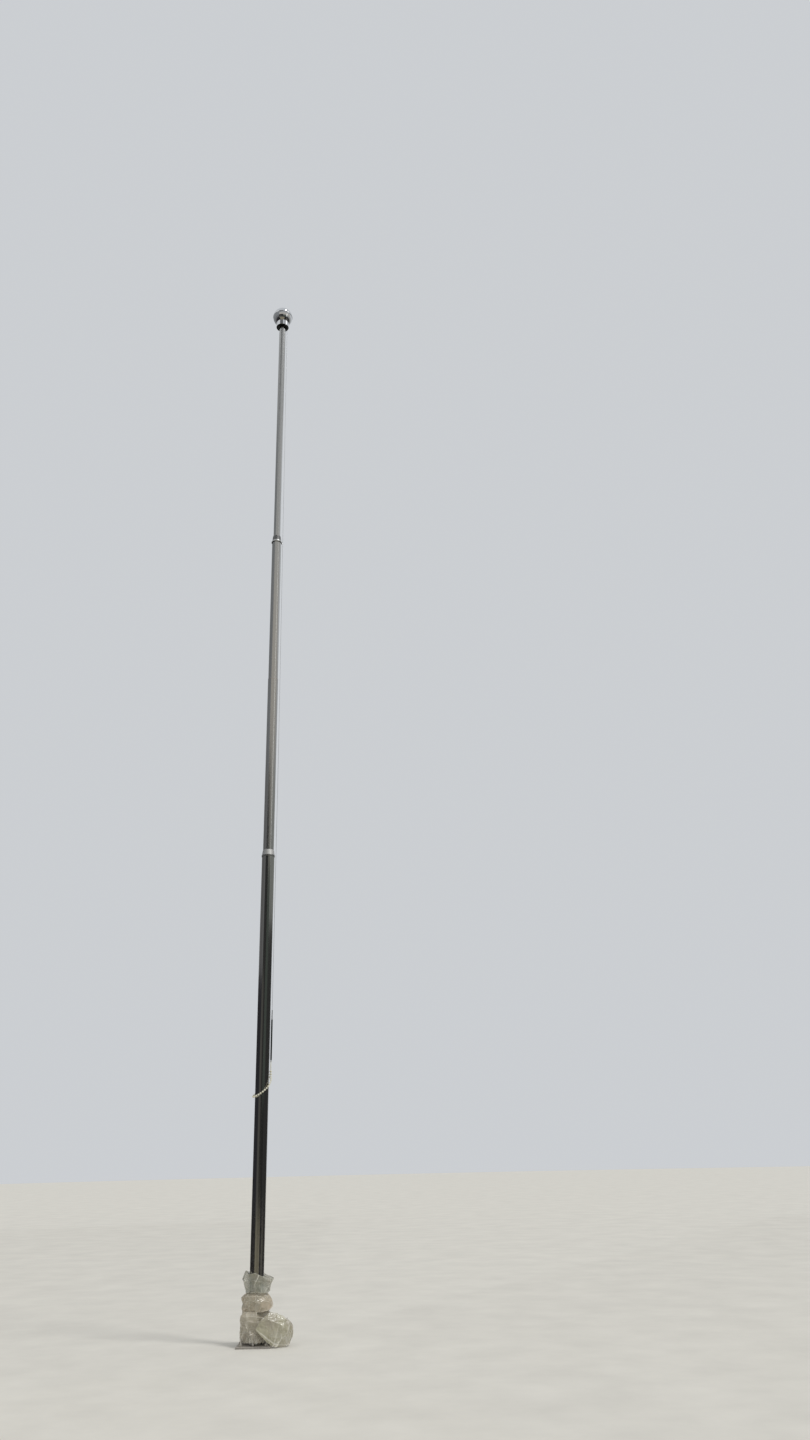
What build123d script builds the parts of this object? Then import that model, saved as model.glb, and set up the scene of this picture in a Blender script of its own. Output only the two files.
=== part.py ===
from build123d import *
import os
from math import cos, exp, pi, radians, sin, sqrt

# A stepped stainless steel flagpole. Origin: centre of the base plate's underside, +Z up, mm.
# -Y is the front, where the pole is seen from.

# Heights above the underside of the base plate
total_height = 12050.0
lower_joint_height = 4607.0
mid_seam_height = 6680.0
upper_joint_height = 8498.0

# Tubes, each sized from the one that stands in it
top_radius = 40.0
top_wall = 3.0
upper_sleeve = 11.0  # spacer sleeve between the top tube and the bore of the upper tube
upper_wall = 3.0
mid_wall = 3.0
lower_sleeve = 5.4  # spacer sleeve between the mid tube and the bore of the lower tube
lower_wall = 4.0
fit_gap = 0.1  # between a tube and what is fitted on or in it
tube_overlap = 260.0  # how far each tube reaches down into the next
sleeve_length = 60.0

# Base plate, gussets and anchor holes
plate_size = 320.0
plate_thickness = 16.0
plate_corner_radius = 8.0
plate_edge_bevel = 1.5
anchor_spacing = 234.0
anchor_hole_radius = 11.0
gusset_height = 120.0
gusset_thickness = 8.0
gusset_toe_height = 15.0
gusset_edge_margin = 12.0  # from the gusset's toe to the plate's edge
gusset_relief = 14.0  # corner clipped off over the weld

# Joint rims, with the tapered band and collar that stand on them, and the weld
rim_thickness = 5.0
rim_bevel = 2.0
rim_flat_margin = 1.0  # from the lower rim's flat top to its bevel
lower_rim_overhang = 4.0
lower_rim_lip = 13.0  # how far the rim's lip hangs over the tube below
lower_band_thickness = 1.6  # at its top; its foot covers the rim's flat top
lower_band_height = 56.0
lower_band_bevel = 1.0
upper_rim_overhang = 9.0
upper_rim_lip = 20.0
upper_rim_flare = 18.0  # fall of the upper rim from its collar to its edge
upper_collar_foot = 13.0  # thickness at its foot
upper_collar_thickness = 5.5  # at its top
upper_collar_height = 66.0
collar_bevel = 4.0
weld_height = 4.0

# Revolving truck
truck_radius = 80.0
truck_height = 70.0
truck_wall = 2.5
truck_top_bevel = 2.5
truck_hem_bevel = 1.0
truck_top_thickness = 5.0
underplate_thickness = 3.0
tube_clearance = 6.0  # round the top tube, where it enters the truck
tube_entry = 8.0  # how far the top tube reaches into the truck
spindle_radius = 12.0
spindle_flange = 5.0
spindle_plug_depth = 30.0
spindle_play = 0.05
thrust_play = 0.3
boss_wall = 9.0
bush_radius = 6.0
bush_flange_radius = 8.0
bush_flange = 3.0
bush_length = 8.0
bush_margin = 6.0  # from the bush's flange to the truck's wall

# Ball
ball_radius = 125.0
ball_wall = 1.5
ball_seat_drop = 98.0  # from the ball's centre down to the truck's top
seam_lip = 1.5
seam_height = 4.0

# Rope, its fittings and the weight
rope_radius = 1.5
rope_play = 0.3
rope_side = radians(27)  # direction of the rope from the mast's axis, from +X towards +Y
hoist_clearance = 8.0  # between hoisted pieces and the widest rim
ferrule_radius = 4.0
ferrule_length = 26.0
ferrule_bore_depth = 20.0
hook_bar_radius = 2.0
hook_bend_radius = 6.0
hook_length = 40.0  # between the centrelines of the hook's two bends
hook_barrel_radius = 4.5
hook_barrel_length = 14.0
hook_gate_radius = 2.8
hook_gate_length = 15.0
eye_radius = 5.5
eye_bar_radius = 1.8
eye_shank_length = 4.0
link_play = 0.3
weight_radius = 8.0
weight_length = 400.0
weight_end_radius = 5.0
weight_bottom_height = 2507.0
hoist_stop_gap = 20.0  # left between the ferrule and the truck at the top of the travel

# Bead ring
bead_radius = 8.5
bead_end_radius = 3.5  # flat round the cord's hole
bead_pitch = 26.0
ring_cord_radius = 2.0
ring_bend_radius = 4.5
ring_leg = 7.0  # from the bend down to the knots
ring_knot_radius = 2.8
ring_steep_drop = 122.0  # fall of the two strands close to the rope
ring_steep_angle = radians(2.8)
ring_slant_drop = 203.0  # fall from the rope's side to the far side of the mast
ring_bead_margin = 0.5  # between the first bead and the plane of the bend
ring_walk_steps = 2000  # fine steps along the cord, by which the beads are spaced

# Plastic film round the foot
film_gap = 0.5  # between the film and the steel
film_thickness = 4.0
film_sides = 16
skirt_bottom = 44.0
skirt_shoulder = 250.0
skirt_top = 287.0
roll_top = 446.0
cuff_top = 622.0
skirt_half_width = 147.0
skirt_neck_radius = 104.0
roll_radius = 140.0
cuff_radius = 132.0
bundle_reach = 352.0  # from the mast's axis to the bundle's far end

# Worked out from the values above
upper_radius = top_radius + upper_sleeve + upper_wall
mid_radius = upper_radius + fit_gap + mid_wall
lower_radius = mid_radius + lower_sleeve + lower_wall
lower_rim_radius = lower_radius + lower_rim_overhang
hoist_radius = lower_rim_radius + hoist_clearance + bead_radius
ball_height = total_height - ball_radius
truck_top = ball_height - ball_seat_drop
truck_bottom = truck_top - truck_height
top_tube_end = truck_bottom + tube_entry
bush_reach = truck_radius - truck_wall - bush_margin - bush_flange_radius

Vertical = Plane.XZ


def turned(*profile):
    """A solid of revolution about Z from (radius, height) corners."""
    return revolve(Vertical * make_face(Polyline(*profile, close=True)), Axis.Z)


def tube(radius, wall, bottom, top):
    return turned((radius - wall, bottom), (radius, bottom), (radius, top), (radius - wall, top))


def at_rope(distance, height):
    """The plane at a distance from the axis on the rope's side: its X points outwards."""
    outwards = (cos(rope_side), sin(rope_side), 0)
    return Plane(
        origin=(distance * cos(rope_side), distance * sin(rope_side), height),
        x_dir=outwards,
        z_dir=(0, 0, 1),
    )


def base_plate():
    outline = RectangleRounded(plate_size, plate_size, plate_corner_radius)
    slab = extrude(outline, plate_thickness)
    slab = chamfer(slab.faces().sort_by(Axis.Z)[-1].edges(), plate_edge_bevel)
    drill = Cylinder(anchor_hole_radius, 4 * plate_thickness)
    return slab - GridLocations(anchor_spacing, anchor_spacing, 2, 2) * drill


def gusset(turn):
    toe = plate_size / 2 - gusset_edge_margin
    low, high = plate_thickness, plate_thickness + gusset_height
    side = Polyline(
        (lower_radius + gusset_relief, low),
        (toe, low),
        (toe, low + gusset_toe_height),
        (lower_radius + gusset_relief, high),
        (0, high),
        (0, low + gusset_relief),
        (lower_radius, low + gusset_relief),
        close=True,
    )
    sheet = extrude(Vertical * make_face(side), gusset_thickness / 2, both=True)
    mast = Pos(0, 0, high / 2) * Cylinder(lower_radius, 2 * high)
    return Rot(0, 0, turn) * (sheet - mast)


def joint_rim(seat, tube_radius, bore, inner, overhang, lip, flare, flat_radius):
    """A cap on a tube's end: a lip outside, a spacer sleeve inside, and the next tube through it."""
    edge = tube_radius + overhang
    top = seat + rim_thickness
    hole = inner + fit_gap
    spigot = bore - fit_gap
    return turned(
        (hole, top),
        (flat_radius, top),
        (edge - rim_bevel, top - flare),
        (edge, top - flare - rim_bevel),
        (edge, seat - lip),
        (tube_radius + fit_gap, seat - lip),
        (tube_radius + fit_gap, seat),
        (spigot, seat),
        (spigot, seat - sleeve_length),
        (hole, seat - sleeve_length),
    )


def collar(inner, thickness, foot_radius, bottom, height, bevel):
    """A sleeve that tapers from its foot's radius to its thickness at the top, under a bevel."""
    hole = inner + fit_gap
    outer = inner + thickness
    return turned(
        (hole, bottom),
        (foot_radius, bottom),
        (outer, bottom + height - bevel),
        (outer - min(bevel, thickness / 2), bottom + height),
        (hole, bottom + height),
    )


def mid_weld():
    foot = upper_radius + fit_gap
    return turned(
        (foot, mid_seam_height),
        (mid_radius, mid_seam_height),
        (foot, mid_seam_height + weld_height),
    )


def top_spindle():
    plug = top_radius - top_wall - fit_gap
    flange_top = top_tube_end + spindle_flange
    spindle_top = truck_top - truck_top_thickness - thrust_play
    return turned(
        (0, top_tube_end - spindle_plug_depth),
        (plug, top_tube_end - spindle_plug_depth),
        (plug, top_tube_end),
        (top_radius, top_tube_end),
        (top_radius, flange_top),
        (spindle_radius, flange_top),
        (spindle_radius, spindle_top),
        (0, spindle_top),
    )


def truck_housing():
    bore = spindle_radius + spindle_play
    boss = bore + boss_wall
    deck = truck_top - truck_top_thickness
    boss_bottom = top_tube_end + spindle_flange + thrust_play
    return turned(
        (0, truck_top),
        (truck_radius - truck_top_bevel, truck_top),
        (truck_radius, truck_top - truck_top_bevel),
        (truck_radius, truck_bottom + truck_hem_bevel),
        (truck_radius - truck_hem_bevel, truck_bottom),
        (truck_radius - truck_wall, truck_bottom),
        (truck_radius - truck_wall, deck),
        (boss, deck),
        (boss, boss_bottom),
        (bore, boss_bottom),
        (bore, deck),
        (0, deck),
    )


def truck_underplate():
    plate = turned(
        (top_radius + tube_clearance, truck_bottom),
        (truck_radius - truck_wall - fit_gap, truck_bottom),
        (truck_radius - truck_wall - fit_gap, truck_bottom + underplate_thickness),
        (top_radius + tube_clearance, truck_bottom + underplate_thickness),
    )
    hole = Cylinder(bush_radius + fit_gap, 4 * underplate_thickness)
    return plate - at_rope(bush_reach, truck_bottom).location * hole


def rope_bush():
    bore = rope_radius + rope_play
    body = turned(
        (bore, -bush_flange),
        (bush_flange_radius, -bush_flange),
        (bush_flange_radius, 0),
        (bush_radius, 0),
        (bush_radius, bush_length),
        (bore, bush_length),
    )
    return at_rope(bush_reach, truck_bottom).location * body


def ball_half(top_half):
    shell = Sphere(ball_radius) - Sphere(ball_radius - ball_wall)
    band = Cylinder(2 * ball_radius, seam_height)
    reach = 2 * ball_radius
    if top_half:
        keep = Pos(0, 0, seam_height / 2 + reach / 2) * Box(2 * reach, 2 * reach, reach)
    else:
        height = ball_seat_drop - seam_height / 2
        keep = Pos(0, 0, -seam_height / 2 - height / 2) * Box(2 * reach, 2 * reach, height)
    return Pos(0, 0, ball_height) * (shell & keep - band)


def ball_seam_band():
    low = ball_height - seam_height / 2
    return tube(ball_radius + seam_lip, seam_lip + ball_wall, low, low + seam_height)


def closed_loop(bend_radius, length, bar_radius):
    """A bar bent to a long loop in the XZ plane, its lowest centreline point at the origin."""
    half = length / 2 - bend_radius
    right = Line((bend_radius, -half), (bend_radius, half))
    top = ThreePointArc((bend_radius, half), (0, half + bend_radius), (-bend_radius, half))
    left = Line((-bend_radius, half), (-bend_radius, -half))
    bottom = ThreePointArc((-bend_radius, -half), (0, -half - bend_radius), (bend_radius, -half))
    path = Vertical * Wire([right, top, left, bottom])
    bar = Plane(origin=(bend_radius, 0, 0), z_dir=(0, 0, 1)) * Circle(bar_radius)
    return Pos(0, 0, length / 2) * sweep(bar, path=path)


upper_eye_height = (
    weight_bottom_height + weight_length + eye_shank_length + eye_radius
)
hook_bottom = upper_eye_height + eye_radius - eye_bar_radius - link_play - hook_bar_radius
barrel_bottom = hook_bottom + hook_length
ferrule_bottom = barrel_bottom + hook_barrel_length
ferrule_top = ferrule_bottom + ferrule_length
lower_eye_height = weight_bottom_height - eye_shank_length - eye_radius
ring_top = lower_eye_height - eye_radius + eye_bar_radius + link_play + ring_cord_radius
hoist_travel = truck_bottom - bush_flange - hoist_stop_gap - ferrule_top


def halyard():
    foot = at_rope(hoist_radius, ferrule_top - ferrule_bore_depth / 2).origin
    head = at_rope(bush_reach, truck_bottom + bush_flange).origin
    run = head - foot
    rope = Plane(origin=foot, z_dir=run)
    return extrude(rope * Circle(rope_radius), run.length)


def rope_ferrule():
    bore = rope_radius + rope_play
    body = turned(
        (0, 0),
        (ferrule_radius, 0),
        (ferrule_radius, ferrule_length),
        (bore, ferrule_length),
        (bore, ferrule_length - ferrule_bore_depth),
        (0, ferrule_length - ferrule_bore_depth),
    )
    return at_rope(hoist_radius, ferrule_bottom).location * body


def snap_hook():
    across = Rot(0, 0, 90)
    loop = across * closed_loop(hook_bend_radius, hook_length, hook_bar_radius)
    barrel = Pos(0, 0, hook_length - hook_bar_radius) * Cylinder(
        hook_barrel_radius,
        hook_barrel_length + hook_bar_radius,
        align=(Align.CENTER, Align.CENTER, Align.MIN),
    )
    gate = Pos(0, hook_bend_radius, hook_length / 2) * Cylinder(hook_gate_radius, hook_gate_length)
    return at_rope(hoist_radius, hook_bottom).location * (loop + barrel + gate)


def counterweight():
    body = Cylinder(
        weight_radius, weight_length, align=(Align.CENTER, Align.CENTER, Align.MIN)
    )
    rims = body.edges().filter_by(GeomType.CIRCLE)
    return at_rope(hoist_radius, weight_bottom_height).location * fillet(rims, weight_end_radius)


def weight_eye(height, shank_side):
    """An eye in the plane through the mast's axis, on a short shank."""
    eye = Rot(90, 0, 0) * Torus(eye_radius, eye_bar_radius)
    shank = Pos(0, 0, shank_side * (eye_radius + eye_shank_length / 2)) * Cylinder(
        eye_bar_radius, eye_shank_length
    )
    return at_rope(hoist_radius, height).location * (eye + shank)


def ring_height(angle):
    """Height of the ring's cord at an angle round the mast: steep by the rope, level far from it."""
    bend = ring_bend_radius / hoist_radius
    steep = 1 - exp(-(angle - bend) / ring_steep_angle)
    slant = sin(pi / 2 * (angle - bend) / (pi - bend))
    knot_height = ring_top - ring_bend_radius - ring_leg
    return knot_height - ring_steep_drop * steep - ring_slant_drop * slant


def ring_point(angle):
    turn = rope_side + angle
    height = ring_height(abs(angle))
    return Vector(hoist_radius * cos(turn), hoist_radius * sin(turn), height)


def bead_centres():
    """Points a bead pitch apart, from beside the rope round the mast to its other side."""
    first = (bead_radius + ring_bead_margin) / hoist_radius
    stride = (pi - first) / ring_walk_steps
    half = [first + stride * i for i in range(ring_walk_steps + 1)]
    length = sum((ring_point(b) - ring_point(a)).length for a, b in zip(half, half[1:]))
    spans = round(2 * length / bead_pitch / 2) * 2
    pitch = 2 * length / spans
    centres, walked = [ring_point(first)], 0.0
    for a, b in zip(half, half[1:]):
        walked += (ring_point(b) - ring_point(a)).length
        if walked >= pitch * len(centres) - 1e-6:
            centres.append(ring_point(b))
    other_side = Plane(origin=(0, 0, 0), x_dir=(cos(rope_side), sin(rope_side), 0), z_dir=(0, 0, 1))
    mirrored = []
    for centre in reversed(centres[:-1]):
        local = other_side.to_local_coords(centre)
        mirrored.append(other_side.from_local_coords(Vector(local.X, -local.Y, local.Z)))
    return centres + mirrored


def hairpin(bend_radius, leg, bar_radius):
    """A cord bent over at Z = bend_radius in the XZ plane, its two legs ending at Z = -leg."""
    up = Line((bend_radius, -leg), (bend_radius, 0))
    over = ThreePointArc((bend_radius, 0), (0, bend_radius), (-bend_radius, 0))
    down = Line((-bend_radius, 0), (-bend_radius, -leg))
    section = Plane(origin=(bend_radius, 0, -leg), z_dir=(0, 0, 1)) * Circle(bar_radius)
    return sweep(section, path=Vertical * Wire([up, over, down]))


def rod(start, end, radius):
    run = end - start
    return extrude(Plane(origin=start, z_dir=run) * Circle(radius), run.length)


def bead(centre, along):
    """A round bead with flat ends where the cord leaves it."""
    half = sqrt(bead_radius**2 - bead_end_radius**2)
    side = [
        Line((0, -half), (bead_end_radius, -half)),
        ThreePointArc((bead_end_radius, -half), (bead_radius, 0), (bead_end_radius, half)),
        Line((bead_end_radius, half), (0, half)),
        Line((0, half), (0, -half)),
    ]
    body = revolve(Vertical * make_face(side), Axis.Z)
    return Plane(origin=centre, z_dir=along).location * body


def bead_ring():
    """Beads on a cord that is looped through the weight's lower eye and knotted under it."""
    hanger = at_rope(hoist_radius, ring_top - ring_bend_radius)
    knots = [
        hanger.from_local_coords(Vector(0, side * ring_bend_radius, -ring_leg)) for side in (1, -1)
    ]
    pieces = [hanger.location * Rot(0, 0, 90) * hairpin(ring_bend_radius, ring_leg, ring_cord_radius)]
    pieces += [Pos(knot) * Sphere(ring_knot_radius) for knot in knots]
    centres = bead_centres()
    stops = [knots[0]] + centres + [knots[1]]
    for start, end in zip(stops, stops[1:]):
        pieces.append(rod(start, end, ring_cord_radius))
    for before, centre, after in zip(stops, centres, stops[2:]):
        pieces.append(bead(centre, after - before))
    return Part() + pieces


def film_outline(height, radius, squareness=0.0, lobes=5, swell=0.0, phase=0.0, shift=0.0):
    """A closed crumpled outline: round or squarish, with a few soft lobes."""
    corners = []
    for i in range(film_sides):
        angle = 2 * pi * i / film_sides
        square = max(abs(cos(angle)), abs(sin(angle)))
        reach = radius * (1 - squareness + squareness / square)
        reach += swell * sin(lobes * angle + phase)
        corners.append((shift + reach * cos(angle), reach * sin(angle)))
    return Pos(0, 0, height) * make_face(Polyline(*corners, close=True))


def mast_core(bottom, top, margin=0.0):
    core = Cylinder(lower_radius + film_gap + margin, 2 * (top - bottom))
    return Pos(0, 0, (top + bottom) / 2) * core


def film_cuff():
    height = cuff_top - roll_top
    sections = [
        film_outline(roll_top, 0.84 * cuff_radius, shift=4, swell=4),
        film_outline(roll_top + 0.3 * height, 0.95 * cuff_radius, shift=8, swell=6, phase=1),
        film_outline(roll_top + 0.66 * height, cuff_radius, shift=8, swell=8, phase=2),
        film_outline(cuff_top, 0.74 * cuff_radius, shift=-8, swell=7, phase=1),
    ]
    return loft(sections, ruled=True) - mast_core(roll_top, cuff_top)


def film_roll():
    height = roll_top - skirt_top
    sections = [
        film_outline(skirt_top, skirt_neck_radius, shift=4),
        film_outline(skirt_top + 0.3 * height, 0.96 * roll_radius, shift=6, swell=4, phase=1),
        film_outline(skirt_top + 0.7 * height, roll_radius, shift=6, swell=4, phase=2),
        film_outline(roll_top, 0.8 * roll_radius, shift=3),
    ]
    return loft(sections, ruled=True) - mast_core(skirt_top, roll_top)


def skirt_form(inset, bottom, top):
    """The skirt's outside, or its inside when inset: squarish at the hem, round at the neck."""
    width = skirt_half_width - inset
    neck = skirt_neck_radius - inset
    sections = [
        film_outline(bottom, width, squareness=0.3, lobes=8, swell=3),
        film_outline((bottom + skirt_shoulder) / 2, width, squareness=0.2, lobes=8, swell=2),
        film_outline(skirt_shoulder - inset, width, squareness=0.05),
        film_outline(top, neck, shift=2),
    ]
    return loft(sections, ruled=True)


def film_skirt():
    outside = skirt_form(0, skirt_bottom, skirt_top)
    inside = skirt_form(film_thickness, skirt_bottom - 1, skirt_top - film_thickness)
    return outside - inside - mast_core(skirt_bottom, skirt_top)


def bundle_outline(reach, depth, height, wide, tall):
    """An upright oval outline across the bundle's run, given by its centre and half its sizes."""
    ring = []
    for i in range(film_sides):
        angle = 2 * pi * i / film_sides
        ring.append((wide * cos(angle), tall * sin(angle)))
    place = Plane(origin=(reach, depth, height), x_dir=(0, 1, 0), z_dir=(1, 0, 0))
    return place * make_face(Polyline(*ring, close=True))


def film_bundle():
    """The film's spare length: a slack roll from the skirt's front shoulder down to the ground."""
    sections = [
        bundle_outline(0.24 * bundle_reach, -84, 190, 40, 48),
        bundle_outline(0.50 * bundle_reach, -60, 150, 84, 108),
        bundle_outline(0.76 * bundle_reach, -30, 104, 92, 104),
        bundle_outline(bundle_reach, -8, 84, 44, 60),
    ]
    pillow = loft(sections, ruled=True)
    ground = Pos(0, 0, -plate_size) * Box(8 * plate_size, 8 * plate_size, 2 * plate_size)
    plate = Box(
        plate_size + 2 * film_gap, plate_size + 2 * film_gap, 2 * (plate_thickness + film_gap)
    )
    skirt = skirt_form(-film_gap, skirt_bottom, skirt_top)
    hem = skirt.faces().sort_by(Axis.Z)[0]
    return pillow - ground - plate - skirt - extrude(hem, skirt_bottom, dir=(0, 0, -1))


def build_nodes():
    lower_bore = lower_radius - lower_wall
    upper_bore = upper_radius - upper_wall
    lower_foot_radius = lower_rim_radius - rim_bevel - rim_flat_margin
    upper_foot_radius = top_radius + upper_collar_foot
    nodes = {
        "base_plate": base_plate(),
        "lower_tube": tube(lower_radius, lower_wall, plate_thickness, lower_joint_height),
        "mid_tube": tube(
            mid_radius, mid_wall, lower_joint_height - tube_overlap, mid_seam_height
        ),
        "upper_tube": tube(
            upper_radius, upper_wall, mid_seam_height - tube_overlap, upper_joint_height
        ),
        "top_tube": tube(top_radius, top_wall, upper_joint_height - tube_overlap, top_tube_end),
        "lower_joint_rim": joint_rim(
            lower_joint_height,
            lower_radius,
            lower_bore,
            mid_radius,
            lower_rim_overhang,
            lower_rim_lip,
            0,
            lower_foot_radius,
        ),
        "lower_joint_band": collar(
            mid_radius,
            lower_band_thickness,
            lower_foot_radius,
            lower_joint_height + rim_thickness,
            lower_band_height,
            lower_band_bevel,
        ),
        "mid_weld": mid_weld(),
        "upper_joint_rim": joint_rim(
            upper_joint_height,
            upper_radius,
            upper_bore,
            top_radius,
            upper_rim_overhang,
            upper_rim_lip,
            upper_rim_flare,
            upper_foot_radius,
        ),
        "upper_joint_collar": collar(
            top_radius,
            upper_collar_thickness,
            upper_foot_radius,
            upper_joint_height + rim_thickness,
            upper_collar_height,
            collar_bevel,
        ),
        "top_spindle": top_spindle(),
        "film_cuff": film_cuff(),
        "film_roll": film_roll(),
        "film_skirt": film_skirt(),
        "film_bundle": film_bundle(),
        "truck_housing": truck_housing(),
        "truck_underplate": truck_underplate(),
        "rope_bush": rope_bush(),
        "ball_lower_half": ball_half(False),
        "ball_upper_half": ball_half(True),
        "ball_seam_band": ball_seam_band(),
        "halyard": halyard(),
        "rope_ferrule": rope_ferrule(),
        "snap_hook": snap_hook(),
        "counterweight": counterweight(),
        "weight_eye_upper": weight_eye(upper_eye_height, -1),
        "weight_eye_lower": weight_eye(lower_eye_height, 1),
        "bead_ring": bead_ring(),
    }
    sides = {"right": 0, "back": 90, "left": 180, "front": 270}
    for side, turn in sides.items():
        nodes["gusset_" + side] = gusset(turn)
    return nodes


os.makedirs("parts", exist_ok=True)
for name, solid in build_nodes().items():
    export_step(solid, "parts/" + name + ".step")

print("hoist travel", round(hoist_travel, 1), "mm, truck underside at", round(truck_bottom, 1))
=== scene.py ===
import math
import random

import bpy
import numpy as np
from mathutils import Matrix, Vector


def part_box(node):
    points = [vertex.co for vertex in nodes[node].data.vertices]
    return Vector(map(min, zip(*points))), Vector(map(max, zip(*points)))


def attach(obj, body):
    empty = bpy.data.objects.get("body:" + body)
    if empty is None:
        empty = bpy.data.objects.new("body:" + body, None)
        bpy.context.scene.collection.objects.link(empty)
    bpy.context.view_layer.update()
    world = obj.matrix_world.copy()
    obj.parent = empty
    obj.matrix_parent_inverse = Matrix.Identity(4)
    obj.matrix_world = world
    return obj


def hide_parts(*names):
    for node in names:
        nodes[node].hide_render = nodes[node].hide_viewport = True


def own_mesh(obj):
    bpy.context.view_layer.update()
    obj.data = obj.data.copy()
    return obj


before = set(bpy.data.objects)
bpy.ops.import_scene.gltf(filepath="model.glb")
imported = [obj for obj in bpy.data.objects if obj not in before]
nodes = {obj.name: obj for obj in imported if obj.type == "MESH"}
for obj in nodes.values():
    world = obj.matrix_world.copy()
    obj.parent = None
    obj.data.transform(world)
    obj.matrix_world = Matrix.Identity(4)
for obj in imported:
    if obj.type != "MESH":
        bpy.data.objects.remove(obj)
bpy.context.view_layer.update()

scene = bpy.context.scene
scene.view_settings.view_transform = "Standard"
print("frame loaded:", len(nodes), "CAD nodes")


# Camera: eye height, eleven metres in front of the pole, tilted up
cameraValues = {
    "place": (1.500, -11.315, 1.608), "pitch": 21.84, "roll": -1.274,
    "lens": 27.05, "sensor": 36, "farthest": 300,
}


def makeCamera(values):
    data = bpy.data.cameras.new("viewCamera")
    data.lens = values["lens"]
    data.sensor_width = values["sensor"]
    data.clip_end = values["farthest"]
    camera = bpy.data.objects.new("viewCamera", data)
    tilt = Matrix.Rotation(math.radians(90 + values["pitch"]), 4, "X")
    roll = Matrix.Rotation(math.radians(values["roll"]), 4, "Z")
    camera.matrix_world = Matrix.Translation(values["place"]) @ tilt @ roll
    scene.collection.objects.link(camera)
    scene.camera = camera


makeCamera(cameraValues)
print("camera placed")


# Mesh helpers
def linkMesh(name, points, faces):
    mesh = bpy.data.meshes.new(name)
    mesh.from_pydata([tuple(p) for p in points], [], faces)
    mesh.update()
    piece = bpy.data.objects.new(name, mesh)
    scene.collection.objects.link(piece)
    return piece


def joinShapes(shapes):
    points, faces = [], []
    for somePoints, someFaces in shapes:
        start = len(points)
        points.extend(somePoints)
        faces.extend(tuple(i + start for i in face) for face in someFaces)
    return points, faces


def addPiece(name, shapes, material, body, sharpAngle):
    piece = linkMesh(name, *joinShapes(shapes))
    piece.data.shade_smooth()
    piece.data.set_sharp_from_angle(angle=math.radians(sharpAngle))
    piece.data.materials.append(materials[material])
    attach(piece, body)
    return piece


# Quads between rings of points that follow each other
def ringFaces(rings, around, closed=True):
    faces = []
    for i in range(rings - 1):
        for j in range(around if closed else around - 1):
            k = (j + 1) % around
            faces.append((i * around + j, i * around + k, (i + 1) * around + k, (i + 1) * around + j))
    return faces


# The same, with the last ring joined to the first
def hoopFaces(rings, around):
    return [tuple(i % (rings * around) for i in face) for face in ringFaces(rings + 1, around)]


# The two faces that close the first ring and the last
def endCaps(rings, around):
    last = (rings - 1) * around
    return [tuple(reversed(range(around))), tuple(range(last, last + around))]


def turnsOf(around):
    return [2 * math.pi * j / around for j in range(around)]


def polarPoint(radius, a, height, place=Matrix.Identity(4)):
    return place @ Vector((radius * math.cos(a), radius * math.sin(a), height))


# How far a hexagon's side lies from its centre, at an angle
def hexagonRadius(half, a):
    return half / math.cos((a + math.pi / 6) % (math.pi / 3) - math.pi / 6)


def middleOf(nodeName):
    low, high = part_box(nodeName)
    return (low + high) / 2


def placeAt(x, y, z, turn):
    return Matrix.Translation((x, y, z)) @ Matrix.Rotation(turn, 4, "Z")


# Node helpers
def feed(tree, sockets, feeds):
    for key, value in feeds.items():
        if isinstance(value, bpy.types.NodeSocket):
            tree.links.new(value, sockets[key])
        else:
            sockets[key].default_value = value


def addNode(tree, kind, feeds=None, **settings):
    node = tree.nodes.new("ShaderNode" + kind)
    for key, value in settings.items():
        setattr(node, key, value)
    feed(tree, node.inputs, feeds or {})
    return node


def calc(tree, operation, a, b=0.0, clamp=False):
    return addNode(tree, "Math", {0: a, 1: b}, operation=operation, use_clamp=clamp).outputs[0]


def plus(tree, a, b, clamp=False):
    return calc(tree, "ADD", a, b, clamp)


def times(tree, a, b, clamp=False):
    return calc(tree, "MULTIPLY", a, b, clamp)


def remap(tree, value, low, high, newLow=0.0, newHigh=1.0):
    feeds = {"Value": value, "From Min": low, "From Max": high, "To Min": newLow, "To Max": newHigh}
    return addNode(tree, "MapRange", feeds).outputs[0]


def mixColour(tree, share, a, b, blend="MIX"):
    return addNode(tree, "Mix", {0: share, 6: a, 7: b}, data_type="RGBA", blend_type=blend).outputs[2]


def noiseOf(tree, vector, scale, detail=2.0, roughness=0.5):
    feeds = {"Vector": vector, "Scale": scale, "Detail": detail, "Roughness": roughness}
    return addNode(tree, "TexNoise", feeds).outputs[0]


effects = {}


# An effect is a node group with numbers going in, and masks, heights or a colour coming out
def newEffect(name, inputs, outputs=("Mask",)):
    tree = effects[name] = bpy.data.node_groups.new(name, "ShaderNodeTree")
    for label, value in inputs.items():
        socket = tree.interface.new_socket(name=label, in_out="INPUT", socket_type="NodeSocketFloat")
        socket.default_value = value
    for label in outputs:
        kind = "NodeSocketColor" if label == "Colour" else "NodeSocketFloat"
        tree.interface.new_socket(name=label, in_out="OUTPUT", socket_type=kind)
    start, end = tree.nodes.new("NodeGroupInput"), tree.nodes.new("NodeGroupOutput")
    return tree, start.outputs, end.inputs


# Coordinates in metres that stay on the piece as it moves
def ownPlace(tree):
    return addNode(tree, "TexCoord").outputs["Object"]


# The same, drawn out along the height
def stretchedPlace(tree, across, along):
    stretch = addNode(tree, "CombineXYZ", {0: across, 1: across, 2: along}).outputs[0]
    return addNode(tree, "VectorMath", {0: ownPlace(tree), 1: stretch}, operation="MULTIPLY").outputs[0]


def heightOf(tree, vector):
    return addNode(tree, "SeparateXYZ", {0: vector}).outputs[2]


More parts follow.
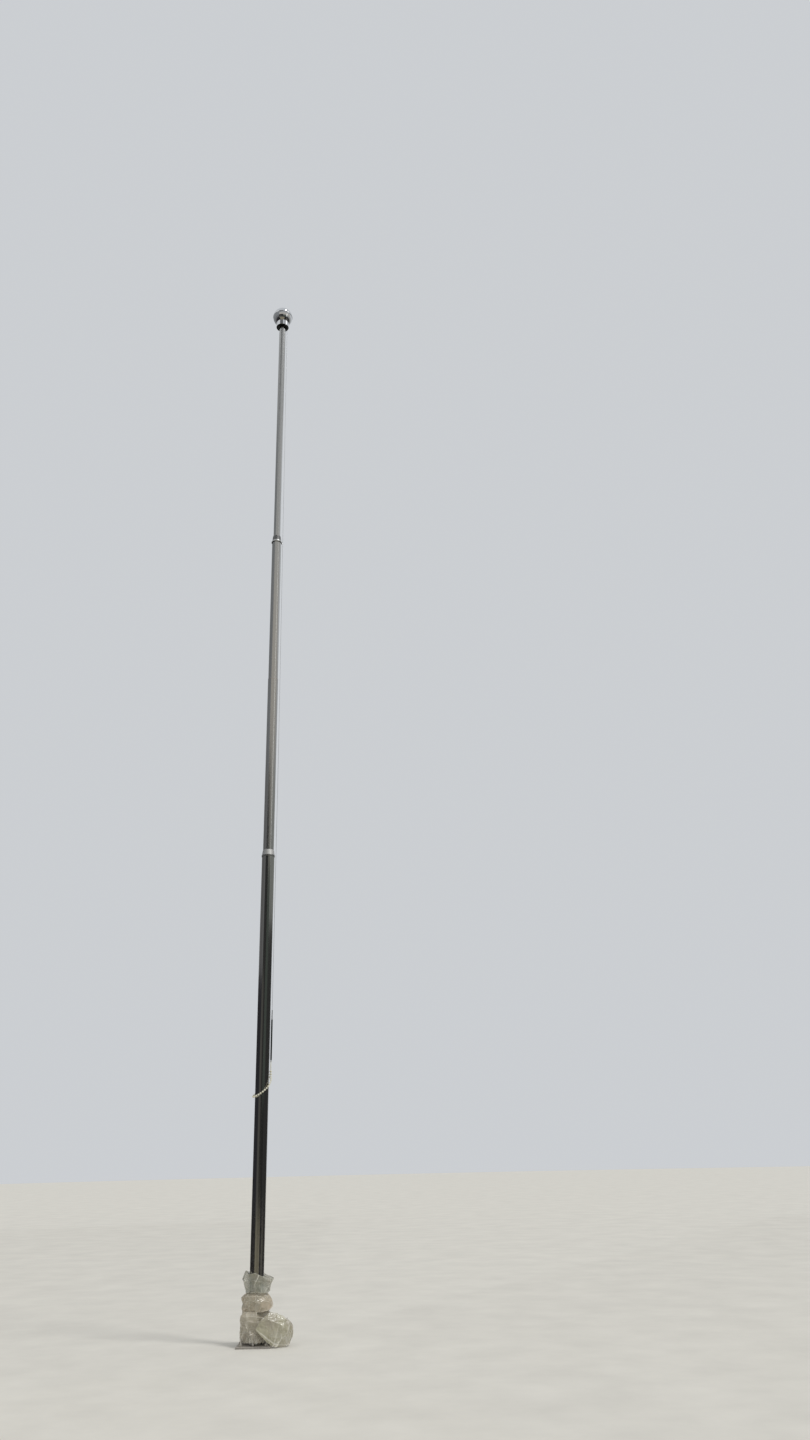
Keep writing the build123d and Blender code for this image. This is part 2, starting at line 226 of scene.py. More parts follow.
# Effects that several finishes share, each a node group
def polishStreaks():
    tree, given, result = newEffect("polishStreaks", {"Across": 60.0, "Along": 1.0}, ("Mask", "Lines"))
    place = stretchedPlace(tree, given["Across"], given["Along"])
    mask = remap(tree, noiseOf(tree, place, 1.0, 3.0, 0.6), 0.36, 0.64)
    feed(tree, result, {"Mask": mask, "Lines": noiseOf(tree, place, 7.0, 2.0, 0.6)})


def rainStains():
    tree, given, result = newEffect("rainStains", {"Across": 25.0, "Along": 1.2})
    place = stretchedPlace(tree, given["Across"], given["Along"])
    drips = remap(tree, noiseOf(tree, place, 1.0, 4.0, 0.65), 0.52, 0.72)
    patches = remap(tree, noiseOf(tree, ownPlace(tree), 0.9, 2.0), 0.4, 0.62)
    feed(tree, result, {"Mask": times(tree, drips, patches, clamp=True)})


# Dust that thins out with height and lies thicker on faces that look up
def groundDust():
    tree, given, result = newEffect("groundDust", {"Top": 0.6, "Bottom": 0.0, "Grain": 40.0})
    place = ownPlace(tree)
    low = remap(tree, heightOf(tree, place), given["Top"], given["Bottom"])
    upward = heightOf(tree, addNode(tree, "NewGeometry").outputs["Normal"])
    lying = plus(tree, times(tree, remap(tree, upward, 0.2, 1.0), 0.8), 0.35)
    cloud = remap(tree, noiseOf(tree, place, given["Grain"], 5.0), 0.3, 0.7, 0.3, 1.2)
    spread = times(tree, times(tree, low, lying), cloud)
    feed(tree, result, {"Mask": calc(tree, "MINIMUM", spread, 1.0, clamp=True)})


def edgeWear():
    tree, given, result = newEffect("edgeWear", {"Low": 0.52, "High": 0.6, "Grain": 220.0})
    edge = remap(tree, addNode(tree, "NewGeometry").outputs["Pointiness"], given["Low"], given["High"])
    chips = remap(tree, noiseOf(tree, ownPlace(tree), given["Grain"], 3.0), 0.35, 0.6)
    feed(tree, result, {"Mask": times(tree, edge, chips, clamp=True)})


heatColours = [  # share of the band's half width, colour
    (0.25, (0.30, 0.27, 0.30, 1)), (0.45, (0.30, 0.36, 0.50, 1)), (0.62, (0.62, 0.42, 0.26, 1)),
    (0.85, (0.72, 0.64, 0.46, 1)),
]


# The straw to blue band that welding leaves in stainless steel, either side of a height
def heatTint():
    tree, given, result = newEffect("heatTint", {"Height": 0.0, "Spread": 0.03}, ("Colour", "Mask"))
    place = ownPlace(tree)
    ripple = times(tree, noiseOf(tree, place, 55.0, 3.0), times(tree, given["Spread"], 0.6))
    away = calc(tree, "ABSOLUTE", calc(tree, "SUBTRACT", heightOf(tree, place), given["Height"]))
    share = calc(tree, "DIVIDE", plus(tree, away, ripple), given["Spread"], clamp=True)
    ramp = addNode(tree, "ValToRGB", {0: share})
    stops = ramp.color_ramp.elements
    for position, colour in heatColours:
        stops.new(position).color = colour
    stops.remove(stops[0])  # the two that a new ramp starts with
    stops.remove(stops[len(stops) - 1])
    mask = calc(tree, "SUBTRACT", 1.0, share, clamp=True)
    feed(tree, result, {"Colour": ramp.outputs[0], "Mask": mask})


# Short scratches that cross in two directions
def scuffs():
    tree, given, result = newEffect("scuffs", {"Scale": 60.0})
    place = ownPlace(tree)
    masks = []
    for turn in (0.5, -0.9):
        feeds = {"Vector": place, "Rotation": (0.4, turn, turn), "Scale": (1.0, 14.0, 3.0)}
        turned = addNode(tree, "Mapping", feeds).outputs[0]
        masks.append(remap(tree, noiseOf(tree, turned, given["Scale"], 2.0), 0.62, 0.7))
    feed(tree, result, {"Mask": calc(tree, "MAXIMUM", *masks)})


# Fine soft creases of thin film, drawn out along the height. Its mask, the crease crests, makes the film
# whiter: partly milky creased film, partly painted highlight
def filmCreases():
    tree, given, result = newEffect("filmCreases", {"Scale": 60.0, "Stretch": 0.4}, ("Height", "Mask"))
    place = stretchedPlace(tree, 1.0, given["Stretch"])
    ridges = []
    for finer in (1.0, 2.7):
        wave = noiseOf(tree, place, times(tree, given["Scale"], finer), 1.5, 0.45)
        away = calc(tree, "ABSOLUTE", calc(tree, "SUBTRACT", wave, 0.5))
        ridges.append(remap(tree, away, 0.16, 0.0))
    height = plus(tree, ridges[0], times(tree, ridges[1], 0.35))
    feed(tree, result, {"Height": height, "Mask": calc(tree, "POWER", ridges[0], 3.0)})


for buildEffect in (polishStreaks, rainStains, groundDust, edgeWear, heatTint, scuffs, filmCreases):
    buildEffect()
print("effect groups built:", len(effects))


def effect(tree, name, **values):
    feeds = {key.capitalize(): value for key, value in values.items()}
    return addNode(tree, "Group", feeds, node_tree=effects[name]).outputs


def bumpOf(tree, height, distance, strength=1.0):
    feeds = {"Height": height, "Distance": distance, "Strength": strength}
    return addNode(tree, "Bump", feeds).outputs[0]


def newMaterial(name):
    material = bpy.data.materials.new(name)
    material.use_nodes = True
    tree = material.node_tree
    return material, tree, tree.nodes["Principled BSDF"].inputs


# Steel finishes: colour and shade are the two ends of the streaks, rough has the least roughness and its
# spread, and streaks their scale across and along and their relief. Wear, dust and heat are optional
steelFinishes = {
    "satinSteel": {
        "colour": (0.60, 0.60, 0.585), "shade": (0.52, 0.52, 0.51), "rough": (0.17, 0.06),
        "streaks": (34.0, 0.12, 0.000002), "stain": (0.46, 0.455, 0.43), "stainShare": 0.2,
    },
    "polishedSteel": {
        "colour": (0.56, 0.56, 0.54), "shade": (0.46, 0.46, 0.44), "rough": (0.08, 0.05),
        "streaks": (30.0, 0.15, 0.000002), "stain": (0.36, 0.34, 0.30), "stainShare": 0.25,
        "dustTop": 1.3, "dustShare": 0.5,
    },
    "jointSteel": {
        "colour": (0.60, 0.60, 0.58), "shade": (0.38, 0.38, 0.37), "rough": (0.2, 0.14),
        "streaks": (25.0, 180.0, 0.00008), "stain": (0.30, 0.28, 0.24), "stainShare": 0.6, "wear": 0.6,
    },
    # Lighter than the other steel: painted light on the lower joint band
    "bandSteelPaintedLight": {
        "colour": (0.86, 0.86, 0.84), "shade": (0.72, 0.72, 0.71), "rough": (0.42, 0.12),
        "streaks": (30.0, 220.0, 0.00004), "stain": (0.5, 0.48, 0.43), "stainShare": 0.4,
    },
    # Darker than the other steel: painted shade on the lower joint's rim, the upper collar and the ball's
    # seam band
    "rimSteelPaintedShade": {
        "colour": (0.30, 0.30, 0.295), "shade": (0.18, 0.18, 0.18), "rough": (0.24, 0.12),
        "streaks": (25.0, 180.0, 0.00006), "stain": (0.18, 0.17, 0.15), "stainShare": 0.5, "wear": 0.6,
    },
    "plateSteel": {
        "colour": (0.42, 0.39, 0.38), "shade": (0.27, 0.25, 0.25), "rough": (0.42, 0.16),
        "streaks": (18.0, 22.0, 0.0002), "stain": (0.25, 0.19, 0.15), "stainShare": 0.5,
        "dustTop": 0.3, "dustShare": 0.8, "wear": 0.8,
    },
    "mirrorSteel": {
        "colour": (0.78, 0.79, 0.80), "shade": (0.70, 0.71, 0.72), "rough": (0.015, 0.02),
        "streaks": (9.0, 9.0, 0.000004), "stain": (0.45, 0.44, 0.42), "stainShare": 0.35,
    },
    # Near black steel: painted shade on the underside of the truck, which faces the ground
    "truckUndersidePaintedShade": {
        "colour": (0.09, 0.095, 0.095), "shade": (0.05, 0.055, 0.055), "rough": (0.55, 0.15),
        "streaks": (60.0, 60.0, 0.0001), "stain": (0.10, 0.09, 0.08), "stainShare": 0.4,
    },
    "weldSteel": {
        "colour": (0.50, 0.49, 0.47), "shade": (0.26, 0.24, 0.24), "rough": (0.34, 0.2),
        "streaks": (220.0, 220.0, 0.0002), "stain": (0.26, 0.17, 0.10), "stainShare": 0.8, "wear": 0.5,
    },
    "boltSteel": {
        "colour": (0.62, 0.61, 0.57), "shade": (0.42, 0.40, 0.36), "rough": (0.30, 0.18),
        "streaks": (120.0, 160.0, 0.0001), "stain": (0.33, 0.20, 0.11), "stainShare": 0.6,
        "dustTop": 0.12, "dustShare": 0.5, "wear": 0.7,
    },
    "ropeSteel": {
        "colour": (0.58, 0.59, 0.59), "shade": (0.34, 0.34, 0.33), "rough": (0.32, 0.15),
        "streaks": (500.0, 90.0, 0.00005), "stain": (0.2, 0.18, 0.15), "stainShare": 0.5,
    },
    "fittingSteel": {
        "colour": (0.66, 0.66, 0.64), "shade": (0.45, 0.45, 0.44), "rough": (0.18, 0.14),
        "streaks": (150.0, 60.0, 0.00005), "stain": (0.3, 0.27, 0.22), "stainShare": 0.4, "wear": 0.5,
    },
}
steelMarks = {  # what all steel finishes share
    "stainAcross": 40.0, "stainAlong": 2.0, "stainRough": 0.15, "worn": (0.74, 0.73, 0.70), "heatShare": 0.75,
    "dust": (0.55, 0.50, 0.42), "dustRough": 0.5, "dustyMetal": 0.35,
}


def makeSteel(name, finish, marks=steelMarks):
    material, tree, shader = newMaterial(name)
    (across, along, relief), (least, spread) = finish["streaks"], finish["rough"]
    streaks = effect(tree, "polishStreaks", across=across, along=along)
    colour = mixColour(tree, streaks["Mask"], (*finish["colour"], 1), (*finish["shade"], 1))
    rough = remap(tree, streaks["Mask"], 0.0, 1.0, least, least + spread)
    drips = effect(tree, "rainStains", across=marks["stainAcross"], along=marks["stainAlong"])["Mask"]
    stains = times(tree, drips, finish["stainShare"])
    colour = mixColour(tree, stains, colour, (*finish["stain"], 1))
    rough = plus(tree, rough, times(tree, stains, marks["stainRough"]))
    if "wear" in finish:
        worn = times(tree, effect(tree, "edgeWear")["Mask"], finish["wear"])
        colour = mixColour(tree, worn, colour, (*marks["worn"], 1))
    if "heat" in finish:
        tint = effect(tree, "heatTint", height=finish["heat"], spread=finish["heatSpread"])
        colour = mixColour(tree, times(tree, tint["Mask"], marks["heatShare"]), colour, tint["Colour"])
    if "dustTop" in finish:
        lying = effect(tree, "groundDust", top=finish["dustTop"])["Mask"]
        dust = times(tree, lying, finish["dustShare"])
        colour = mixColour(tree, dust, colour, (*marks["dust"], 1))
        rough = plus(tree, rough, times(tree, dust, marks["dustRough"]), clamp=True)
        metal = remap(tree, dust, 0.0, 1.0, 1.0, marks["dustyMetal"])
    else:
        metal = 1.0
    bump = bumpOf(tree, streaks["Lines"], relief)
    feed(tree, shader, {"Base Color": colour, "Roughness": rough, "Metallic": metal, "Normal": bump})
    return material


# Plastic finishes
plasticFinishes = {
    "darkSleeve": {
        "colour": (0.012, 0.017, 0.015), "shade": (0.022, 0.028, 0.025), "rough": 0.6, "grain": 900.0,
        "relief": 0.0001, "scuff": (0.10, 0.11, 0.10), "scuffShare": 0.2, "gloss": 0.2,
    },
    "whiteBead": {
        "colour": (0.86, 0.84, 0.70), "shade": (0.76, 0.71, 0.52), "rough": 0.28, "grain": 400.0,
        "relief": 0.00005, "scuff": (0.50, 0.45, 0.34), "scuffShare": 0.3, "gloss": 0.5,
    },
    "bushPlastic": {
        "colour": (0.06, 0.06, 0.06), "shade": (0.10, 0.10, 0.10), "rough": 0.4, "grain": 900.0,
        "relief": 0.0001, "scuff": (0.2, 0.2, 0.2), "scuffShare": 0.4, "gloss": 0.4,
    },
}
plasticMarks = {"cloudScale": 22.0, "cloudRough": 0.18, "scuffScale": 45.0, "reliefShare": 0.8}


def makePlastic(name, finish, marks=plasticMarks):
    material, tree, shader = newMaterial(name)
    place = ownPlace(tree)
    cloud = remap(tree, noiseOf(tree, place, marks["cloudScale"], 4.0), 0.38, 0.66)
    colour = mixColour(tree, cloud, (*finish["colour"], 1), (*finish["shade"], 1))
    scratches = effect(tree, "scuffs", scale=marks["scuffScale"])["Mask"]
    colour = mixColour(tree, times(tree, scratches, finish["scuffShare"]), colour, (*finish["scuff"], 1))
    rough = plus(tree, times(tree, cloud, marks["cloudRough"]), finish["rough"])
    bump = bumpOf(tree, noiseOf(tree, place, finish["grain"]), finish["relief"], marks["reliefShare"])
    shader["Specular IOR Level"].default_value = finish["gloss"]
    feed(tree, shader, {"Base Color": colour, "Roughness": rough, "Normal": bump})
    return material


# Film finish: milky where it lies in layers, clearer low down, whiter along folds and crease crests, partly
# as milkier doubled film and partly as painted highlight, dusty at the bottom
filmFinish = {
    "clear": (0.44, 0.40, 0.305), "foldAndHighlight": (0.84, 0.81, 0.70), "dust": (0.46, 0.38, 0.27),
    "clearAlpha": 0.56, "foldAlpha": 0.92, "leastAlpha": 0.08, "rough": 0.17, "gloss": 0.6,
    "coat": 0.6, "coatRough": 0.1, "creaseScale": 16.0, "creaseDepth": 0.0022, "creaseHighlightShare": 0.12,
    "reliefShare": 0.8, "cloudScale": 7.0, "cloudAlpha": 0.14, "cloudRough": 0.16,
    "sheerTop": 0.15, "sheerBottom": 0.06, "sheerShare": 0.42,
    "dustTop": 0.42, "dustGrain": 30.0, "dustShare": 0.5, "dustRough": 0.3,
}
filmTints = {  # tint, and how much less clear than the finish
    "cuffFilm": ((0.42, 0.44, 0.37), 0.0), "rollFilm": ((0.58, 0.48, 0.35), 0.22),
    "skirtFilm": ((0.52, 0.46, 0.35), 0.2), "bundleFilm": ((0.46, 0.44, 0.30), 0.22),
}


def makeFilm(name, tint, alphaLift, finish=filmFinish):
    material, tree, shader = newMaterial(name)
    foldAndHighlight = addNode(tree, "Attribute", attribute_name="foldAndHighlight", attribute_type="GEOMETRY").outputs["Fac"]
    creases = effect(tree, "filmCreases", scale=finish["creaseScale"])
    place = ownPlace(tree)
    cloud = remap(tree, noiseOf(tree, place, finish["cloudScale"], 3.0), 0.36, 0.66)
    # Whiter along crease crests and folds: painted highlight and milkier film together
    whiter = plus(tree, times(tree, creases["Mask"], finish["creaseHighlightShare"]), foldAndHighlight, clamp=True)
    colour = mixColour(tree, cloud, (*finish["clear"], 1), (*tint, 1))
    colour = mixColour(tree, whiter, colour, (*finish["foldAndHighlight"], 1))
    lying = effect(tree, "groundDust", top=finish["dustTop"], grain=finish["dustGrain"])["Mask"]
    dust = times(tree, lying, finish["dustShare"])
    colour = mixColour(tree, dust, colour, (*finish["dust"], 1))
    heights = (finish["sheerTop"], finish["sheerBottom"])
    sheer = remap(tree, heightOf(tree, place), *heights, 0.0, finish["sheerShare"])
    flat = calc(tree, "SUBTRACT", finish["clearAlpha"] + alphaLift, sheer)
    flat = plus(tree, flat, times(tree, cloud, finish["cloudAlpha"]))
    alpha = addNode(tree, "Mix", {0: whiter, 2: flat, 3: finish["foldAlpha"]}).outputs[0]
    rough = plus(tree, times(tree, cloud, finish["cloudRough"]), finish["rough"])
    rough = plus(tree, rough, times(tree, dust, finish["dustRough"]), clamp=True)
    bump = bumpOf(tree, creases["Height"], finish["creaseDepth"], finish["reliefShare"])
    alpha = calc(tree, "MAXIMUM", alpha, finish["leastAlpha"], clamp=True)
    feed(tree, shader, {
        "Base Color": colour, "Roughness": rough, "Alpha": alpha, "Normal": bump,
        "Specular IOR Level": finish["gloss"], "Coat Weight": finish["coat"],
        "Coat Roughness": finish["coatRough"],
    })
    return material


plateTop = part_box("base_plate")[1].z
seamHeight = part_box("mid_weld")[0].z
heatBands = {  # finish, the weld's height, how far its tint spreads
    "lowerTubeSteel": ("polishedSteel", plateTop + 0.12, 0.05),
    "midTubeSteel": ("satinSteel", seamHeight, 0.02),
    "upperTubeSteel": ("satinSteel", seamHeight, 0.015),
    "gussetSteel": ("plateSteel", plateTop, 0.02),
}
materials = {name: makeSteel(name, finish) for name, finish in steelFinishes.items()}
for name, (finish, height, spread) in heatBands.items():
    materials[name] = makeSteel(name, {**steelFinishes[finish], "heat": height, "heatSpread": spread})
for name, finish in plasticFinishes.items():
    materials[name] = makePlastic(name, finish)
for name, (tint, alphaLift) in filmTints.items():
    materials[name] = makeFilm(name, tint, alphaLift)

# The dark rim steel and the near black truck steel paint shade, and the light band steel paints light
finishNodes = {
    "plateSteel": ["base_plate"],
    "gussetSteel": ["gusset_front", "gusset_back", "gusset_left", "gusset_right"],
    "lowerTubeSteel": ["lower_tube"], "midTubeSteel": ["mid_tube"], "upperTubeSteel": ["upper_tube"],
    "satinSteel": ["top_tube"], "bandSteelPaintedLight": ["lower_joint_band"], "weldSteel": ["mid_weld"],
    "rimSteelPaintedShade": ["lower_joint_rim", "upper_joint_collar", "ball_seam_band"],
    "jointSteel": ["upper_joint_rim"], "truckUndersidePaintedShade": ["truck_underplate"], "ropeSteel": ["halyard"],
    "mirrorSteel": ["truck_housing", "ball_lower_half", "ball_upper_half"],
    "fittingSteel": ["top_spindle", "rope_ferrule", "snap_hook", "weight_eye_upper", "weight_eye_lower"],
    "bushPlastic": ["rope_bush"], "darkSleeve": ["counterweight"], "whiteBead": ["bead_ring"],
    "cuffFilm": ["film_cuff"], "rollFilm": ["film_roll"], "skirtFilm": ["film_skirt"],
    "bundleFilm": ["film_bundle"],
}
for finishName, nodeNames in finishNodes.items():
    for nodeName in nodeNames:
        if not nodes[nodeName].material_slots:
            nodes[nodeName].data.materials.append(materials[finishName])
        for materialSlot in nodes[nodeName].material_slots:
            materialSlot.material = materials[finishName]
print("finishes made:", len(materials))


# Wire rope: six strands laid round each other, from the ferrule up to the truck. Its lower share hangs plumb,
# so that it stays clear in the ferrule when the hoist is up
ropeValues = {
    "radius": 0.0015, "valley": 0.8, "lay": 0.020, "strands": 6, "step": 0.002,
    "travel": 8.736, "plumb": 0.32,
}


def makeRope(values):
    low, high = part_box("halyard")
    foot, head = middleOf("rope_ferrule"), middleOf("rope_bush")
    foot.z, head.z = low.z, high.z
    count = round((high.z - low.z) / values["step"])
    around = 2 * values["strands"]
    points = []
    for i in range(count + 1):
        lean = max(0.0, i / count - values["plumb"]) / (1 - values["plumb"])
        middle = Vector((*foot.xy.lerp(head.xy, lean), foot.z + (head.z - foot.z) * i / count))
        turn = 2 * math.pi * i * values["step"] / values["lay"]
        for j, a in enumerate(turnsOf(around)):
            radius = values["radius"] * (1.0 if j % 2 else values["valley"])
            points.append(middle + polarPoint(radius, turn + a, 0.0))
    shape = points, ringFaces(count + 1, around)
    rope = addPiece("wireRope", [shape], "ropeSteel", "truck", 70)
    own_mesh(rope)
    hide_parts("halyard")


makeRope(ropeValues)
print("rope laid")


# Anchor fasteners: stud, washer and nut at each corner of the plate
anchorValues = {
    "spacing": 0.234, "stud": 0.010, "studFoot": 0.001, "studTop": 0.060, "shorter": 0.004, "seed": 40,
    "pitch": 0.0025, "threadDepth": 0.0009, "threadSteps": 6, "chamfer": 0.0016, "seatGap": 0.0002,
    "washer": 0.0185, "washerHole": 0.0108, "washerHeight": 0.003, "washerBevel": 0.0004,
    "nutAcross": 0.030, "nutHeight": 0.016, "nutBite": 0.0004, "nutCone": 1.02,
}


def threadShape(values, high, place, around=32):
    low, pitch, depth = values["studFoot"], values["pitch"], values["threadDepth"]
    count = int((high - low) / pitch * values["threadSteps"])
    points = []
    for i in range(count + 1):
        height = low + (high - low) * i / count
        shrink = max(0.0, 1 - (high - height) / (1.5 * pitch))  # the end is chamfered
        for j, a in enumerate(turnsOf(around)):
            phase = (height / pitch - j / around) % 1.0
            ridge = 1 - 2 * abs(phase - 0.5)
            bulge = values["stud"] - depth + depth * ridge - values["chamfer"] * shrink
            points.append(polarPoint(bulge, a, height, place))
    return points, ringFaces(count + 1, around) + endCaps(count + 1, around)


# A hexagonal nut, its corners rounded off by a cone at both ends
def nutShape(values, place, around=48):
    half, height, bore = values["nutAcross"] / 2, values["nutHeight"], values["stud"] - values["nutBite"]
    cone, free = values["nutCone"], math.inf
    points = []
    for level, most in [(0.0, cone), (0.10, free), (0.90, free), (1.0, cone)]:
        for a in turnsOf(around):
            points.append(polarPoint(min(hexagonRadius(half, a), half * most), a, level * height, place))
    for level in (1.0, 0.0):
        points += [polarPoint(bore, a, level * height, place) for a in turnsOf(around)]
    return points, hoopFaces(6, around)


def washerShape(values, place, around=48):
    outer, hole, height = values["washer"], values["washerHole"], values["washerHeight"]
    bevel = values["washerBevel"]
    profile = [
        (hole, 0), (outer - bevel, 0), (outer, bevel), (outer, height - bevel), (outer - bevel, height),
        (hole + bevel, height), (hole, height - bevel),
    ]
    points = [polarPoint(radius, a, level, place) for radius, level in profile for a in turnsOf(around)]
    return points, hoopFaces(len(profile), around)


def makeAnchors(values):
    half = values["spacing"] / 2
    washerSeat = plateTop + values["seatGap"]
    nutSeat = plateTop + values["washerHeight"] + 2 * values["seatGap"]
    studs, nuts, washers = [], [], []
    for k, (sx, sy) in enumerate([(1, 1), (-1, 1), (-1, -1), (1, -1)]):
        turn = random.Random(values["seed"] + k).uniform(0, math.pi)
        top = values["studTop"] - values["shorter"] * (k % 2)
        studs.append(threadShape(values, top, placeAt(sx * half, sy * half, 0, turn)))
        washers.append(washerShape(values, placeAt(sx * half, sy * half, washerSeat, turn)))
        nuts.append(nutShape(values, placeAt(sx * half, sy * half, nutSeat, turn)))
    addPiece("anchorStuds", studs, "boltSteel", "mast", 60)
    addPiece("anchorNuts", nuts, "boltSteel", "mast", 30)
    addPiece("anchorWashers", washers, "boltSteel", "mast", 30)


makeAnchors(anchorValues)
print("anchors set")


# Weld beads: rippled fillets along the gussets and round the tube's foot, which stop short of the relief, the
# gussets' cut inner corner
weldValues = {
    "size": 0.0045, "footShare": 1.1, "ripple": 0.0032, "body": 0.82, "wave": 0.18, "endBody": 0.4,
    "endSteps": 3, "flatness": 0.75, "wrap": 1.25, "step": 0.0008, "relief": 0.014, "lift": 0.0006,
    "endGap": 0.004, "toeGap": 0.002, "cornerGap": 0.006,
}


# A rippled bead along a run; outwards is the way that each point of the run faces
def beadShape(path, outwards, size, values, around=8):
    fade = values["endSteps"] * values["step"]
    points, lengths = [], [0.0]
    for i in range(1, len(path)):
        lengths.append(lengths[-1] + (path[i] - path[i - 1]).length)
    for i, at in enumerate(path):
        along = (path[min(i + 1, len(path) - 1)] - path[max(i - 1, 0)]).normalized()
        out = outwards[i]
        side = along.cross(out).normalized()
        saw = (lengths[i] / values["ripple"]) % 1.0
        end = min(1.0, lengths[i] / fade, (lengths[-1] - lengths[i]) / fade)
        bulge = size * (values["body"] + values["wave"] * (1 - saw) ** 2)
        bulge *= values["endBody"] + (1 - values["endBody"]) * end
        for j in range(around):
            a = math.pi * (j / (around - 1) - 0.5) * values["wrap"]
            points.append(at + out * bulge * math.cos(a) * values["flatness"] + side * bulge * math.sin(a))
    return points, ringFaces(len(path), around) + endCaps(len(path), around)


def straightRun(start, end, step):
    count = max(2, round((end - start).length / step))
    return [start.lerp(end, i / count) for i in range(count + 1)]


def makeWelds(values):
    size, step, endGap = values["size"], values["step"], values["endGap"]
    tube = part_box("lower_tube")[1].x
    toe, thick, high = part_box("gusset_right")[1]
    low, inner = plateTop + values["relief"] + endGap, tube + values["relief"] + endGap
    outer = toe - values["toeGap"]
    gap = (thick + values["cornerGap"]) / tube
    sweep = math.pi / 2 - 2 * gap
    count = int(sweep * tube / step)
    shapes = []
    for quarter in range(4):
        turned = Matrix.Rotation(quarter * math.pi / 2, 4, "Z")
        for side in (-1, 1):
            y = side * (thick + values["lift"])
            seat = math.sqrt(tube**2 - y**2) + values["lift"]
            runs = [
                (Vector((seat, y, low)), Vector((seat, y, high - endGap)), Vector((1, side, 0))),
                (Vector((inner, y, plateTop)), Vector((outer, y, plateTop)), Vector((0, side, 1))),
            ]
            for start, end, out in runs:
                path = [turned @ p for p in straightRun(start, end, step)]
                shapes.append(beadShape(path, [(turned @ out).normalized()] * len(path), size, values))
        outs = [polarPoint(1, quarter * math.pi / 2 + gap + sweep * i / count, 0) for i in range(count + 1)]
        arc = [out * tube + Vector((0, 0, plateTop)) for out in outs]
        facing = [(out + Vector((0, 0, 1))).normalized() for out in outs]
        shapes.append(beadShape(arc, facing, size * values["footShare"], values))
    addPiece("footWelds", shapes, "weldSteel", "mast", 50)


makeWelds(weldValues)
print("welds run")


# Small screws: grub screws round the upper collar and pan heads under the truck
screwValues = {
    "grubHeight": 8.556, "grubRadius": 0.004, "grubRise": 0.0016, "grubBite": 0.0002, "grubCount": 3,
    "grubTurn": -70.0, "panRadius": 0.0045, "panHeight": 0.0028, "panBite": 0.0001, "panCircle": 0.069,
    "panCount": 4, "panTurn": 45.0, "socket": 0.0019,
}


# A domed screw head with a hexagonal socket sunk into it
def headShape(radius, height, socket, place, around=24):
    profile = [(radius, 0.0), (radius, 0.35), (0.88 * radius, 0.75), (0.66 * radius, 1.0)]
    points = [polarPoint(r, a, level * height, place) for r, level in profile for a in turnsOf(around)]
    for level in (1.0, 0.25):
        points += [polarPoint(hexagonRadius(socket, a), a, level * height, place) for a in turnsOf(around)]
    return points, ringFaces(6, around) + endCaps(6, around)


def makeScrews(values):
    collar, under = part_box("upper_joint_collar")[1].x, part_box("truck_underplate")[0].z
    grubs, pans = [], []
    for k in range(values["grubCount"]):
        out = polarPoint(1, math.radians(values["grubTurn"] + 360 / values["grubCount"] * k), 0)
        facing = out.to_track_quat("Z", "Y").to_matrix().to_4x4()
        centre = out * (collar - values["grubBite"]) + Vector((0, 0, values["grubHeight"]))
        at = Matrix.Translation(centre) @ facing
        grubs.append(headShape(values["grubRadius"], values["grubRise"], values["socket"], at))
    for k in range(values["panCount"]):
        a = math.radians(values["panTurn"] + 360 / values["panCount"] * k)
        centre = polarPoint(values["panCircle"], a, under + values["panBite"])
        at = Matrix.Translation(centre) @ Matrix.Rotation(math.pi, 4, "X")
        pans.append(headShape(values["panRadius"], values["panHeight"], values["socket"], at))
    addPiece("collarGrubs", grubs, "boltSteel", "mast", 40)
    addPiece("truckScrews", pans, "boltSteel", "truck", 40)


makeScrews(screwValues)
print("screws fitted")


# Film: thin clear plastic gathered round the foot. Each piece starts as a smooth form with a few broad folds,
# and a short cloth run, where the film is a little larger than its form, crumples it
filmValues = {  # what the film pieces share
    "core": 0.0672, "softness": 1, "rounding": 1, "waveSoftness": 6, "hemShare": 0.06,
    "foldWidth": 0.0026, "foldSpan": 8, "foldFloor": 0.4, "highlightLineShare": 0.7,
    "quality": 5, "mass": 0.0003, "stiff": 12.0, "shearShare": 0.4, "bending": 0.02, "airDamping": 2.0,
    "growth": 0.13, "weight": 0.4, "frames": 36, "hemLift": 0.0,
}


# Evenly spaced rows on the way through the given ones
def alongRows(rows, count, roundness):
    rows = np.asarray(rows, float)
    steps = np.linalg.norm(np.diff(rows.reshape(len(rows), -1), axis=0), axis=1)
    passed = np.append(0, np.cumsum(steps))
    spots = np.interp(np.linspace(0, steps.sum(), count), passed, np.arange(len(rows)))
    first = np.minimum(spots.astype(int), len(rows) - 2)
    t = (spots - first).reshape(-1, *[1] * (rows.ndim - 1))
    a, b, c, d = (rows[np.clip(first + k, 0, len(rows) - 1)] for k in (-1, 0, 1, 2))
    bend = 0.5 * (2 * b + (c - a) * t + (2 * a - 5 * b + 4 * c - d) * t**2 + (3 * b - a - 3 * c + d) * t**3)
    straight = b + (c - b) * t
    return straight + roundness * (bend - straight)


